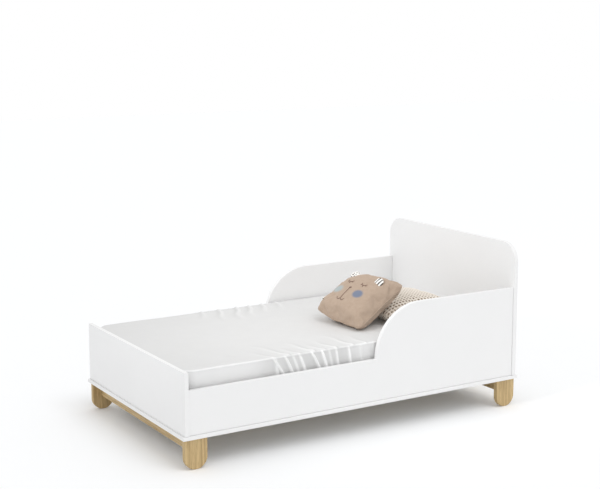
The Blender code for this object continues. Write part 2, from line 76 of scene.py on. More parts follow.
LACQUER_WHITE = "#F3F3F3"
LACQUER_SHADE = "#EFEFEF"
LACQUER_PEEL_MM = 9.0
LACQUER_CLOUD_MM = 180.0
EDGE_ANGLE = math.radians(35)
WELD = 0.00001


def linear(hex_colour):
    """Linear red, green, blue and alpha of an sRGB hex colour."""
    parts = [int(hex_colour[i:i + 2], 16) / 255 for i in (1, 3, 5)]
    return (*(p / 12.92 if p <= 0.04045 else ((p + 0.055) / 1.055) ** 2.4 for p in parts), 1.0)


def add_node(tree, kind, inputs=None, **settings):
    """One node with its settings. An input is a value, or another node's output to link."""
    node = tree.nodes.new(kind)
    for name, value in settings.items():
        setattr(node, name, value)
    for name, value in (inputs or {}).items():
        if isinstance(value, bpy.types.NodeSocket):
            tree.links.new(value, node.inputs[name])
        else:
            node.inputs[name].default_value = value
    return node


def new_finish(name, **sockets):
    """A material with its constants on the shader. Returns it, its node tree and the shader."""
    finish = bpy.data.materials.new(name)
    finish.use_nodes = True
    shader = finish.node_tree.nodes["Principled BSDF"]
    for socket, value in sockets.items():
        shader.inputs[socket.replace("_", " ")].default_value = value
    return finish, finish.node_tree, shader


def per_metre(size_mm):
    """Noise scale whose patches are about this many millimetres across."""
    return 1000.0 / size_mm


def combine(tree, operation, *vectors):
    """One step of arithmetic between vectors."""
    inputs = dict(enumerate(vectors))
    return add_node(tree, "ShaderNodeVectorMath", inputs, operation=operation).outputs[0]


def place(tree, stretch=(1.0, 1.0, 1.0)):
    """The piece's own coordinates, in metres, squeezed along the axes with a small factor."""
    own = add_node(tree, "ShaderNodeTexCoord").outputs["Object"]
    if stretch == (1.0, 1.0, 1.0):
        return own
    return combine(tree, "MULTIPLY", own, stretch)


def cloud(tree, own, size_mm, detail, rough=0.5, distortion=0.0):
    """Noise over the piece, in patches about this many millimetres across."""
    return add_node(tree, "ShaderNodeTexNoise", {
        "Vector": own, "Scale": per_metre(size_mm), "Detail": detail, "Roughness": rough,
        "Distortion": distortion}).outputs["Fac"]


def calculate(tree, operation, *values):
    """One step of arithmetic between numbers and other nodes' outputs."""
    return add_node(tree, "ShaderNodeMath", dict(enumerate(values)), operation=operation).outputs[0]


def map_range(tree, value, low=0.0, high=1.0, to_low=0.0, to_high=1.0, kind="LINEAR"):
    """Maps one range of a value onto another, and holds it at both ends."""
    return add_node(tree, "ShaderNodeMapRange", {
        "Value": value, "From Min": low, "From Max": high, "To Min": to_low, "To Max": to_high},
        interpolation_type=kind).outputs["Result"]


def blend(tree, share, first, second):
    """Mixes two colours, each a hex colour or another node's output."""
    first, second = (linear(c) if isinstance(c, str) else c for c in (first, second))
    return add_node(tree, "ShaderNodeMix", {
        "Factor": share, "A": first, "B": second}, data_type="RGBA").outputs[2]


def relief(tree, height, strength, distance, over=None):
    """Bump from a height in metres, on top of another bump if one is given."""
    inputs = {"Height": height, "Strength": strength, "Distance": distance}
    if over is not None:
        inputs["Normal"] = over
    return add_node(tree, "ShaderNodeBump", inputs).outputs["Normal"]


def plug(tree, shader, **outputs):
    """Links other nodes' outputs to the shader's sockets."""
    for socket, output in outputs.items():
        tree.links.new(output, shader.inputs[socket.replace("_", " ")])


def make_lacquer():
    """Satin sprayed lacquer: nearly even, with soft clouds of gloss and faint orange peel."""
    finish, tree, shader = new_finish("satin_white_lacquer_on_mdf", Roughness=0.38, IOR=1.5)
    own = place(tree)
    clouds = cloud(tree, own, LACQUER_CLOUD_MM, 3.0, 0.55)
    plug(tree, shader,
         Base_Color=blend(tree, clouds, LACQUER_WHITE, LACQUER_SHADE),
         Roughness=map_range(tree, clouds, 0.3, 0.7, 0.34, 0.42),
         Normal=relief(tree, cloud(tree, own, LACQUER_PEEL_MM, 2.0), 0.12, 0.0004))
    return finish


def make_weld_group():
    """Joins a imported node's split corners, and shades shallow edges smooth and steep ones crisp."""
    tree = bpy.data.node_groups.new("weld_and_smooth", "GeometryNodeTree")
    for direction in ("INPUT", "OUTPUT"):
        tree.interface.new_socket("Geometry", in_out=direction, socket_type="NodeSocketGeometry")
    flow = add_node(tree, "NodeGroupInput").outputs[0]

    def then(kind, inputs, **settings):
        return add_node(tree, kind, {"Geometry": flow, **inputs}, **settings).outputs[0]

    for attribute in ("custom_normal", "sharp_edge", "sharp_face"):
        flow = then("GeometryNodeRemoveAttribute", {"Name": attribute})
    flow = then("GeometryNodeMergeByDistance", {"Distance": WELD})
    flow = then("GeometryNodeSetShadeSmooth", {}, domain="FACE")
    angle = add_node(tree, "GeometryNodeInputMeshEdgeAngle").outputs["Unsigned Angle"]
    turn = {"A": angle, "B": EDGE_ANGLE}
    steep = add_node(tree, "FunctionNodeCompare", turn, operation="GREATER_THAN")
    crisp = {"Selection": steep.outputs[0], "Shade Smooth": False}
    flow = then("GeometryNodeSetShadeSmooth", crisp, domain="EDGE")
    add_node(tree, "NodeGroupOutput", {0: flow})
    return tree


weld_group = make_weld_group()


def finish_nodes(names, finish):
    """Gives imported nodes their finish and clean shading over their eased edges."""
    for name in names:
        piece = nodes[name]
        piece.material_slots[0].link = "DATA"
        piece.material_slots[0].material = finish
        piece.modifiers.new("weld_and_smooth", "NODES").node_group = weld_group
        flats = piece.modifiers.new("keep_flats_flat", "WEIGHTED_NORMAL")
        flats.keep_sharp = True
        flats.weight = 100


lacquered = ["headboard", "footboard"]
lacquered += [name for name in nodes if name.startswith(("side_rail_", "base_board_"))]
finish_nodes(lacquered, make_lacquer())


# ==== Leg frames =============================================================================
# Two legs and a cross rail at each end, sawn from 18 mm pale oak board and clear-coated matt. The
# grain runs down the legs and along the rails.

OAK_PALE = "#D0B686"
OAK_DARK = "#B1966A"
OAK_PORE = "#86683D"
OAK_RING_MM = 9.0
OAK_STREAK_MM = 2.6


def make_wood(name, pale, dark, pore, ring_mm, streak_mm, along, pore_strength=0.5, rough=0.5):
    """Sawn wood: soft growth rings, finer streaks and short dark pores, all along one axis."""
    finish, tree, shader = new_finish(name, Roughness=rough, IOR=1.45)
    long_way = place(tree, tuple(0.035 if axis == along else 1.0 for axis in "xyz"))
    short_way = place(tree, tuple(0.05 if axis == along else 1.0 for axis in "xyz"))
    rings = calculate(tree, "MULTIPLY_ADD", cloud(tree, long_way, ring_mm, 2.0, 0.4, 0.6), 0.6, 0.0)
    grain = calculate(tree, "MULTIPLY_ADD", cloud(tree, long_way, streak_mm, 3.0, 0.6), 0.4, rings)
    bands = map_range(tree, grain, 0.38, 0.64, kind="SMOOTHSTEP")
    pores = cloud(tree, short_way, streak_mm * 0.6, 1.0)
    holes = map_range(tree, pores, 0.60, 0.70, 0.0, pore_strength)
    plug(tree, shader,
         Base_Color=blend(tree, holes, blend(tree, bands, dark, pale), pore),
         Roughness=map_range(tree, bands, 0.0, 1.0, rough + 0.08, rough - 0.04),
         Normal=relief(tree, calculate(tree, "SUBTRACT", bands, holes), 0.25, 0.0003))
    return finish


oak = (OAK_PALE, OAK_DARK, OAK_PORE, OAK_RING_MM, OAK_STREAK_MM)
finish_nodes([name for name in nodes if name.startswith("leg_") and "screw" not in name],
             make_wood("matt_pale_oak_upright", *oak, "z"))
finish_nodes([name for name in nodes if name.startswith("cross_rail_")],
             make_wood("matt_pale_oak_crosswise", *oak, "y"))


# ==== Slatted deck ===========================================================================
# Ten planed pine slats lie across two pine battens that run along the side rails. The wood is
# left raw, so it is dull, with wide soft rings.

PINE_PALE = "#E6DAC2"
PINE_DARK = "#D6C3A0"
PINE_RESIN = "#B98A52"
PINE_RING_MM = 16.0
PINE_STREAK_MM = 5.0

pine = (PINE_PALE, PINE_DARK, PINE_RESIN, PINE_RING_MM, PINE_STREAK_MM)
slats = [name for name in nodes if name.startswith("slat_") and not name.startswith("slat_cleat")]
finish_nodes(slats, make_wood("raw_pine_crosswise", *pine, "y", 0.2, 0.65))
finish_nodes(["slat_cleat_right", "slat_cleat_left"],
             make_wood("raw_pine_lengthwise", *pine, "x", 0.2, 0.65))


# ==== Fittings ===============================================================================
# Cam locks and their bolts draw the panels together, turned beech dowels line them up, and
# countersunk screws hold the base and the leg frames. The metal is die-cast or turned, then
# zinc-plated.

ZINC_LIGHT = "#C9CBCC"
ZINC_DARK = "#A9ACAE"
ZINC_SPANGLE_MM = 3.0
BEECH_PALE = "#DDB98D"
BEECH_DARK = "#C99F70"
BEECH_FLECK = "#A97C4E"
BEECH_RING_MM = 6.0
BEECH_STREAK_MM = 1.5


def make_zinc():
    """Zinc plate: a bright metal with small cloudy patches of duller grey."""
    finish, tree, shader = new_finish("zinc_plated_steel", Metallic=1.0, Roughness=0.34)
    spangle = cloud(tree, place(tree), ZINC_SPANGLE_MM, 2.0)
    plug(tree, shader,
         Base_Color=blend(tree, spangle, ZINC_LIGHT, ZINC_DARK),
         Roughness=map_range(tree, spangle, 0.0, 1.0, 0.26, 0.44))
    return finish


beech = (BEECH_PALE, BEECH_DARK, BEECH_FLECK, BEECH_RING_MM, BEECH_STREAK_MM)
metal_starts = ("cam_", "base_screw_", "leg_screw_")
finish_nodes([name for name in nodes if name.startswith(metal_starts)], make_zinc())
finish_nodes([name for name in nodes if name.startswith("dowel_")],
             make_wood("turned_beech", *beech, "x", 0.35, 0.6))


# ==== Mattress ===============================================================================
# A block of foam in a cotton ticking, with rounded corners. The ticking is quilted in diamonds
# onto a thin wadding, which shows underneath when the mattress is lifted.

MATTRESS_CORNER = 0.040
MATTRESS_EDGE = 0.018
MATTRESS_PULL_IN = 0.0012
MATTRESS_GRID = 0.0075
ROLL_ROWS = 6
QUILT_DIAMOND = 0.060
QUILT_DEPTH = 0.0022
TICKING_LIGHT = "#EFEDE6"
TICKING_SHADE = "#DEDBD0"
TICKING_PATCH_MM = 35.0
TICKING_PITCH_MM = 3.158  # drawn about ten times coarser than real thread, so that it shows


def round_outline(half_x, half_y, corner, side, t):
    """A point on a round-cornered rectangle, and its outward direction. Each of the four sides
    runs from the middle of a corner to the middle of the next, anticlockwise from +X -Y."""
    along_half = (half_y, half_x)[side % 2] - corner
    across = (half_x, half_y)[side % 2] - corner
    half_arc = corner * math.pi / 4
    way = t * (2 * along_half + 2 * half_arc)
    if way < half_arc:
        angle, base = -math.pi / 4 + way / corner, -along_half
    elif way > half_arc + 2 * along_half:
        angle, base = (way - half_arc - 2 * along_half) / corner, along_half
    else:
        angle, base = 0.0, way - half_arc - along_half
    out = Vector((math.cos(angle), math.sin(angle)))
    turn = Matrix.Rotation(side * math.pi / 2, 2)
    return turn @ (Vector((across, base)) + corner * out), turn @ out


def cover_shell(half_x, half_y, corner, edge, top, hem, step):
    """A cover over a mattress: flat top, rolled edge and straight skirt, as an even net of quads.
    Returns its points, their outward directions and its faces."""
    border = corner + 0.5 * edge
    in_x, in_y = half_x - border, half_y - border
    count_x, count_y = round(2 * in_x / step), round(2 * in_y / step)
    points, outs, faces = [], [], []
    for i in range(count_x + 1):
        for j in range(count_y + 1):
            points.append((in_x * (2 * i / count_x - 1), in_y * (2 * j / count_y - 1), top))
            outs.append((0.0, 0.0, 1.0))
    at = lambda i, j: i * (count_y + 1) + j
    for i in range(count_x):
        for j in range(count_y):
            faces.append((at(i, j), at(i + 1, j), at(i + 1, j + 1), at(i, j + 1)))
    ring, feet = [], []
    for side, count in enumerate((count_y, count_x, count_y, count_x)):
        for k in range(count):
            starts = (at(count_x, k), at(count_x - k, count_y), at(0, count_y - k), at(k, 0))
            ring.append(starts[side])
            feet.append(round_outline(half_x - edge, half_y - edge, corner - edge, side, k / count))
    inner = [Vector(points[index][:2]) for index in ring]
    flat_rows = max(1, round((border - edge) / step))
    drop = top - edge - hem
    skirt_rows = max(1, round(drop / step))
    rows = [("flat", (k + 1) / flat_rows) for k in range(flat_rows)]
    rows += [("roll", (k + 1) / ROLL_ROWS) for k in range(ROLL_ROWS)]
    rows += [("skirt", (k + 1) / skirt_rows) for k in range(skirt_rows)]
    for kind, share in rows:
        new_ring = []
        for start, (foot, out) in zip(inner, feet):
            if kind == "flat":
                spot, height, lean = start.lerp(foot, share), top, 0.0
            elif kind == "roll":
                lean = share * math.pi / 2
                spot, height = foot + out * edge * math.sin(lean), top - edge * (1 - math.cos(lean))
            else:
                lean = math.pi / 2
                spot, height = foot + out * edge, top - edge - drop * share
            new_ring.append(len(points))
            points.append((spot.x, spot.y, height))
            outs.append((out.x * math.sin(lean), out.y * math.sin(lean), math.cos(lean)))
        for k in range(len(ring)):
            n = (k + 1) % len(ring)
            faces.append((ring[k], new_ring[k], new_ring[n], ring[n]))
        ring = new_ring
    return np.array(points), np.array(outs), faces


def add_object(name, data):
    """A new object in the scene."""
    thing = bpy.data.objects.new(name, data)
    bpy.context.scene.collection.objects.link(thing)
    return thing


def add_piece(name, points, faces, finish):
    """A new smooth-shaded mesh object."""
    mesh = bpy.data.meshes.new(name)
    mesh.from_pydata([tuple(p) for p in points], [], faces)
    mesh.validate()
    mesh.shade_smooth()
    mesh.materials.append(finish)
    return add_object(name, mesh)


def plain_weave(tree, own, pitch_mm, distortion):
    """Height of threads that cross at right angles, this many millimetres apart."""
    scale = per_metre(pitch_mm) * math.pi / 10  # a wave node makes 20 waves in 2 pi
    inputs = {"Vector": own, "Scale": scale, "Distortion": distortion}
    threads = (add_node(tree, "ShaderNodeTexWave", inputs, bands_direction=axis) for axis in "XY")
    return calculate(tree, "MULTIPLY", *(thread.outputs["Fac"] for thread in threads))


def make_ticking():
    """Woven ticking: off-white, dull, with threads that cross at right angles."""
    finish, tree, shader = new_finish("quilted_cotton_ticking", Roughness=0.9, Sheen_Weight=0.15)
    own = place(tree)
    patches = cloud(tree, own, TICKING_PATCH_MM, 4.0)
    plug(tree, shader,
         Base_Color=blend(tree, patches, TICKING_LIGHT, TICKING_SHADE),
         Normal=relief(tree, plain_weave(tree, own, TICKING_PITCH_MM, 0.3), 0.4, 0.0004))
    return finish


def make_mattress():
    """Two half shells back to back, with the quilting pressed into their flats."""
    low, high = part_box("mattress")
    half_x = (high.x - low.x) / 2 - MATTRESS_PULL_IN
    half_y = (high.y - low.y) / 2 - MATTRESS_PULL_IN
    thick = (high.z - low.z) / 2 - MATTRESS_PULL_IN / 2
    points, outs, faces = cover_shell(
        half_x, half_y, MATTRESS_CORNER, MATTRESS_EDGE, thick, 0.0, MATTRESS_GRID)
    for k, (x, y, z) in enumerate(points):
        ridge = abs(math.sin((x + y) * math.pi / QUILT_DIAMOND))
        cross = abs(math.sin((x - y) * math.pi / QUILT_DIAMOND))
        dip = QUILT_DEPTH * (1 - min(ridge, cross) ** 0.5) * max(outs[k][2], 0.0)
        points[k] = (x, y, z - dip)
    count = len(points)
    under = points * (1, 1, -1)
    faces += [tuple(i + count for i in reversed(face)) for face in faces]
    piece = add_piece("mattress_in_ticking", np.vstack((points, under)), faces, make_ticking())
    bm = bmesh.new()
    bm.from_mesh(piece.data)
    bmesh.ops.remove_doubles(bm, verts=bm.verts, dist=WELD)
    bm.to_mesh(piece.data)
    bm.free()
    piece.location = (low + high) / 2
    return piece


mattress = make_mattress()
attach(mattress, "mattress")
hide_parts("mattress")


# ==== Fitted sheet ===========================================================================
# Plain white cotton, sewn as a box with an elastic run into its hem. The elastic pulls the skirt
# into gathers at the middle of each long side, and the pull fans out a little over the top.

# The next two colours are the light and dark ends of the sheet's painted light and shade; its plain
# white lies between them.
SHEET_PAINTED_LIGHT = "#FAFAFA"
SHEET_PAINTED_SHADE = "#C4C4C3"
SHEET_MOTTLE_MM = 60.0
SHEET_RUMPLE_MM = 45.0
SHEET_PITCH_MM = 3.948  # drawn more than ten times coarser than real thread
SHEET_GRID = 0.0030
SHEET_THICK = 0.0010
SHEET_EDGE = 0.0055
SHEET_EDGE_ROLL = 0.0010
# Each gather on the side nearest the room: place at the top edge, place at the hem side, how far
# it stands out, and half its width
GATHERS = [
    (-0.338, -0.300, 0.0075, 0.0046), (-0.326, -0.318, 0.0040, 0.0050),
    (-0.292, -0.264, 0.0085, 0.0044), (-0.262, -0.240, 0.0040, 0.0050),
    (-0.237, -0.215, 0.0058, 0.0050), (-0.190, -0.160, 0.0098, 0.0046),
    (-0.149, -0.131, 0.0098, 0.0044), (-0.120, -0.108, 0.0030, 0.0050),
    (-0.092, -0.084, 0.0050, 0.0046), (-0.042, -0.034, 0.0060, 0.0046),
    (0.006, 0.012, 0.0026, 0.0056), (0.060, 0.066, 0.0024, 0.0060),
    (0.128, 0.136, 0.0020, 0.0070),
]
# Each crease over the top: where it starts on the edge, where it runs out, height and half-width
CREASES = [
    ((-0.176, -0.352), (-0.216, -0.205), 0.0048, 0.0046),
    ((-0.274, -0.352), (-0.336, -0.180), 0.0040, 0.0052),
    ((-0.090, -0.352), (-0.124, -0.235), 0.0042, 0.0046),
    ((-0.022, -0.352), (-0.052, -0.180), 0.0040, 0.0048),
    ((-0.135, -0.352), (-0.166, -0.258), 0.0034, 0.0042),
    ((-0.232, -0.352), (-0.268, -0.260), 0.0030, 0.0046),
    ((0.030, -0.352), (0.018, -0.230), 0.0032, 0.0048),
    ((-0.330, -0.352), (-0.392, -0.245), 0.0026, 0.0056),
    ((-0.088, 0.352), (-0.160, 0.150), 0.0050, 0.0056),
    ((-0.034, 0.352), (-0.094, 0.185), 0.0048, 0.0056),
    ((-0.165, 0.352), (-0.214, 0.175), 0.0044, 0.0056),
    ((0.022, 0.352), (-0.022, 0.205), 0.0040, 0.0058),
    ((-0.238, 0.352), (-0.268, 0.235), 0.0034, 0.0056),
    ((0.086, 0.352), (0.060, 0.225), 0.0034, 0.0058),
]


def smooth_step(value):
    """0 below 0, 1 above 1, and a soft S between."""
    value = min(max(value, 0.0), 1.0)
    return value * value * (3 - 2 * value)


def gather_height(x, depth, side_sign):
    """How far the skirt stands out at a place along the side and a depth below the top edge."""
    total = 0.0
    for start, end, height, width in GATHERS:
        share = min(depth / 0.055, 1.6)
        middle = start + (end - start) * share ** 0.8
        if side_sign > 0:
            middle += 0.030
        grown = smooth_step((depth + 0.004) / 0.018)
        gap = (x - middle) / (width * (0.8 + 0.35 * share))
        total = max(total, height * grown * math.exp(-gap * gap))
    return total


def crease_height(x, y):
    """Height of the creases that fan out over the top, and their painted highlight and painted shade.
    """
    total, painted_lightness = 0.0, 0.0
    for (x0, y0), (x1, y1), height, width in CREASES:
        dx, dy = x1 - x0, y1 - y0
        length = math.hypot(dx, dy)
        along = ((x - x0) * dx + (y - y0) * dy) / length
        if -0.02 < along < length:
            share = max(along / length, 0.0)
            off = ((x - x0) * dy - (y - y0) * dx) / length
            off += 0.006 * math.sin(along * 38.0)
            gap = off / (width * (1.0 + 1.1 * share))
            total += height * (1 - share) ** 1.3 * math.exp(-gap * gap)
            # Painted highlight on the crease, and painted shade in a band along one side of it.
            beside = (gap - 1.7) / 1.3
            painted_highlight_and_shade = math.exp(-gap * gap) - 0.8 * math.exp(-beside * beside)
            painted_lightness += height / 0.005 * (1 - share) * painted_highlight_and_shade
    return total, painted_lightness


def make_sheet_cotton():
    """Washed cotton: dull, with a fine plain weave. Its colour carries painted light and shade:
    painted highlights on the gathers, creases and rolled top edge, painted shade between the gathers,
    and a faint random mottle."""
    finish, tree, shader = new_finish("plain_woven_white_cotton", Roughness=0.85, Sheen_Weight=0.12)
    own = place(tree)
    mottle = cloud(tree, own, SHEET_MOTTLE_MM, 4.0)
    # The attribute holds painted light and shade worked out when the sheet is built; a faint random
    # mottle is added to it.
    painted_light_and_shade = add_node(tree, "ShaderNodeAttribute", attribute_name="painted_light_and_shade").outputs["Fac"]
    share = calculate(tree, "MULTIPLY_ADD", mottle, 0.06, painted_light_and_shade)
    threads = relief(tree, plain_weave(tree, own, SHEET_PITCH_MM, 0.4), 0.2, 0.0003)
    rumple = cloud(tree, own, SHEET_RUMPLE_MM, 3.0, 0.6)
    plug(tree, shader,
         Base_Color=blend(tree, share, SHEET_PAINTED_SHADE, SHEET_PAINTED_LIGHT),
         Normal=relief(tree, rumple, 0.25, 0.002, threads))
    return finish


def make_fitted_sheet():
    """The cover net, pushed out into gathers, creases and a slight unevenness, with painted light and
    shade for its colour.
    """
    low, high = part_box("fitted_sheet")
    half_x, half_y = (high.x - low.x) / 2 - SHEET_THICK, (high.y - low.y) / 2 - SHEET_THICK
    top = high.z - SHEET_THICK
    points, outs, faces = cover_shell(
        half_x, half_y, MATTRESS_CORNER + 0.001, SHEET_EDGE, top, low.z, SHEET_GRID)
    straight = half_x - MATTRESS_CORNER - 0.02
    share = np.clip(points[:, 0] / straight, -1, 1)
    finer = straight * share * (0.55 + 0.45 * share ** 2)
    points[:, 0] = np.where(np.abs(share) < 1, finer, points[:, 0])
    painted_lightnesses = []
    for k, (x, y, z) in enumerate(points):
        out = outs[k]
        flat = max(out[2], 0.0)
        depth = top - z
        # Painted light and shade for the colour: a base level, long sides painted lighter, painted
        # highlights on the gathers and painted shade between them, painted highlight and shade along
        # the creases, and a painted highlight along the rolled top edge.
        lift, painted_lightness = 0.0, 0.37
        if abs(out[1]) > 0.05:
            stand = gather_height(x, depth, out[1])
            lift += abs(out[1]) * stand
            # Long sides painted lighter; in the gathered stretch, a painted highlight on each gather
            # and painted shade between them.
            gathered = math.exp(-((x + 0.19) / 0.19) ** 6)
            painted_lightness += abs(out[1]) * (gathered * (0.8 * min(stand / 0.006, 1.0) - 0.36) + 0.31)
        if flat > 0.02:
            height, crease_painted_lightness = crease_height(x, y)
            lift += flat * height
            painted_lightness += flat * 0.34 * crease_painted_lightness
            lift += SHEET_EDGE_ROLL * 4 * flat * (1 - flat)
            # Painted highlight along the rolled top edge.
            painted_lightness += 0.9 * flat * (1 - flat)
            wave = noise.noise(Vector((x * 7.0, y * 9.0, 0.3)))
            fine = noise.noise(Vector((x * 16.0 + 5.0, y * 38.0, 1.7)))
            lift += flat * max(0.0, 0.0011 * wave + 0.0005 * fine + 0.0005)
        skirt = 1.0 - flat
        if skirt > 0.5:
            along = x if abs(out[1]) > abs(out[0]) else y
            ripple = noise.noise(Vector((along * 26.0, depth * 6.0, 4.0 + out[1])))
            lift += skirt * 0.0010 * max(ripple, -0.2)
        points[k] += np.array(out) * lift
        painted_lightnesses.append(min(max(painted_lightness, 0.0), 1.0))
    piece = add_piece("fitted_cotton_sheet", points, faces, make_sheet_cotton())
    piece.data.attributes.new("painted_light_and_shade", "FLOAT", "POINT").data.foreach_set("value", painted_lightnesses)
    body = piece.modifiers.new("cloth_thickness", "SOLIDIFY")
    body.thickness = SHEET_THICK
    body.offset = 0.0
    return piece


sheet = make_fitted_sheet()
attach(sheet, "mattress")
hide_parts("fitted_sheet")


# ==== Waffle cushion =========================================================================
# A loose square cushion in a cream waffle-knit cover, with painted shade in taupe in the small
# hollows between the ridges, filled with soft fibre. It lies flat on the sheet with its top seam
# towards the headboard.

# The next colour is painted shade for the knit's hollows.
WAFFLE_PAINTED_HOLLOW_SHADE = "#877562"
WAFFLE_CREAM = "#E6DDD1"
WAFFLE_CELL = 0.0140
WAFFLE_DEPTH = 0.0030
WAFFLE_STEPS = 96
WAFFLE_FUZZ_MM = 3.0
CUSHION_SEAM = 0.0020
CUSHION_DRAW_IN = 0.035
CUSHION_CORNER_POWER = 11
PUCKER = 0.0016
PUCKER_REACH = 0.016
CUSHION_SAG = 0.006
CUSHION_PRESSURE = 4.0
CUSHION_FRAMES = 20
CUSHION_CAP = 0.008


def cushion_net(size, thickness, steps):
    """Two square cloths sewn round their rim: full in the middle, drawn in between the corners."""
    points, faces, rims = [], [], []
    power = CUSHION_CORNER_POWER
    for face in (-1, 1):
        start = len(points)
        for i in range(steps + 1):
            for j in range(steps + 1):
                u, v = (t * (1.35 - 0.35 * t * t) for t in (2 * i / steps - 1, 2 * j / steps - 1))
                fullness = math.sqrt(max((1 - abs(u) ** 2.7) * (1 - abs(v) ** 2.7), 0.0))
                largest = max(abs(u), abs(v), 1e-9)
                round_off = (abs(u) ** power + abs(v) ** power) ** (1 / power)
                reach = size / 2 * largest / max(round_off, 1e-9)
                points.append((
                    reach * u * (1 - CUSHION_DRAW_IN * (1 - v * v)),
                    reach * v * (1 - CUSHION_DRAW_IN * (1 - u * u)),
                    face * (CUSHION_SEAM + (thickness / 2 - CUSHION_SEAM) * fullness)))
        at = lambda i, j: start + i * (steps + 1) + j
        for i in range(steps):
            for j in range(steps):
                quad = (at(i, j), at(i + 1, j), at(i + 1, j + 1), at(i, j + 1))
                faces.append(quad if face > 0 else quad[::-1])
        rim = [at(k, 0) for k in range(steps)] + [at(steps, k) for k in range(steps)]
        rim += [at(steps - k, steps) for k in range(steps)]
        rim += [at(0, steps - k) for k in range(steps)]
        rims.append(rim)
    low, high = rims
    for k in range(len(low)):
        n = (k + 1) % len(low)
        faces.append((low[k], low[n], high[n], high[k]))
    return points, faces, rims


def stuff(piece, pressure, cap, grow):
    """Blows the cover up from inside for a few frames. The seam round the rim holds, and each point
    stays near where it started."""
    scene = bpy.context.scene
    start = np.array([v.co for v in piece.data.vertices])
    cover = piece.modifiers.new("stuffing", "CLOTH")
    cover.settings.quality = 6
    cover.settings.mass = 0.25
    cover.settings.tension_stiffness = 18.0
    cover.settings.compression_stiffness = 18.0
    cover.settings.shear_stiffness = 6.0
    cover.settings.bending_stiffness = 0.6
    cover.settings.use_pressure = True
    cover.settings.uniform_pressure_force = pressure
    cover.settings.shrink_min = -grow
    cover.settings.effector_weights.gravity = 0.0
    seam = piece.vertex_groups.new(name="seam")
    held = [vert.index for vert in piece.data.vertices if abs(vert.co.z) < CUSHION_SEAM * 1.01]
    seam.add(held, 1.0, "REPLACE")
    cover.settings.vertex_group_mass = seam.name
    cover.point_cache.frame_start = 1
    cover.point_cache.frame_end = CUSHION_FRAMES
    for number in range(1, CUSHION_FRAMES + 1):
        scene.frame_set(number)
    shaped = piece.evaluated_get(bpy.context.evaluated_depsgraph_get())
    moved = np.array([v.co for v in shaped.data.vertices]) - start
    length = np.linalg.norm(moved, axis=1)
    moved *= np.minimum(1.0, cap / np.maximum(length, 1e-9))[:, None]
    piece.modifiers.remove(cover)
    piece.data.vertices.foreach_set("co", (start + moved).astype(np.float32).ravel())
    piece.data.update()
    scene.frame_set(1)


def shown_mesh(piece):
    """A mesh of the piece as it looks now."""
    shown = piece.evaluated_get(bpy.context.evaluated_depsgraph_get())
    return bpy.data.meshes.new_from_object(shown)


def refine(piece):
    """One level of subdivision."""
    fine = piece.modifiers.new("finer_net", "SUBSURF")
    fine.levels = fine.render_levels = 1


def pucker(piece, size):
    """Small folds that run in from the seam, where the cover is gathered by the sewing."""
    for vert in piece.data.vertices:
        x, y, z = vert.co
        inward = size / 2 - max(abs(x), abs(y))
        along = y if abs(x) > abs(y) else x
        fold = noise.noise(Vector((along * 75.0, 3.0 * (x + y), 9.0 * (z > 0))))
        near = math.exp(-max(inward, 0.0) / PUCKER_REACH)
        away = min(abs(z) / 0.012, 1.0)
        vert.co.z += (1 if z > 0 else -1) * PUCKER * 2.2 * fold * near * away


def settle(piece, floor, sag):
    """Lets a placed cushion down, so that its underside lies flat on what carries it."""
    turn, back = piece.matrix_world.copy(), piece.matrix_world.inverted()
    for vert in piece.data.vertices:
        spot = turn @ vert.co
        spot.z = max(spot.z - sag, floor + 0.15 * (spot.z - floor) * (spot.z - floor < sag))
        vert.co = back @ spot


def make_waffle_knit():
    """Waffle knit: cream where the ridges stand, painted shade in taupe in the hollows, woolly and
    dull.
    """
    finish, tree, shader = new_finish(
        "waffle_knit_wool_and_cotton", Roughness=0.95, Sheen_Weight=0.3)
    own = place(tree)
    axes = add_node(tree, "ShaderNodeSeparateXYZ", {0: own}).outputs
    waves = [calculate(tree, "SINE", calculate(tree, "MULTIPLY", axes[axis], math.pi / WAFFLE_CELL))
             for axis in "XY"]
    # Painted shade: this mask is highest in the hollows that the cushion's relief presses in, with
    # random fuzz mixed in.
    painted_hollow_shade = calculate(tree, "POWER", calculate(tree, "MULTIPLY", *waves), 2.0)
    fuzz = cloud(tree, own, WAFFLE_FUZZ_MM, 3.0, 0.7)
    mixed = calculate(tree, "MULTIPLY_ADD", fuzz, 0.25, painted_hollow_shade)
    share = map_range(tree, mixed, 0.30, 0.75, kind="SMOOTHSTEP")
    plug(tree, shader,
         Base_Color=blend(tree, share, WAFFLE_CREAM, WAFFLE_PAINTED_HOLLOW_SHADE),
         Normal=relief(tree, fuzz, 0.5, 0.001))
    return finish


def make_waffle_cushion():
    """Stuffed cover with the waffle cells raised on both faces."""
    low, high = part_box("waffle_cushion")
    size = high.y - low.y
    points, faces, _ = cushion_net(size - 0.004, (high.z - low.z) * 0.94, WAFFLE_STEPS)
    piece = add_piece("waffle_knit_cushion", points, faces, make_waffle_knit())
    stuff(piece, CUSHION_PRESSURE, CUSHION_CAP, 0.02)
    pucker(piece, size)
    refine(piece)
    dense = shown_mesh(piece)
    piece.modifiers.clear()
    piece.data = dense
    moves = []
    for vert in dense.vertices:
        u, v = vert.co.x * math.pi / WAFFLE_CELL, vert.co.y * math.pi / WAFFLE_CELL
        moves.append(vert.normal * WAFFLE_DEPTH * (0.5 - (math.sin(u) * math.sin(v)) ** 2))
    for vert, move in zip(dense.vertices, moves):
        vert.co += move
    piece.location = (low + high) / 2
    bpy.context.view_layer.update()
    settle(piece, low.z, CUSHION_SAG)
    return piece


waffle_cushion = make_waffle_cushion()
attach(waffle_cushion, "waffle_cushion")
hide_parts("waffle_cushion")


# ==== Face cushion ===========================================================================
# A small square cushion in beige velour that leans on the other one. A plain sleepy animal face is
# stitched on it in brown thread, with two printed cheeks, two cotton ears and a little sewn paw.

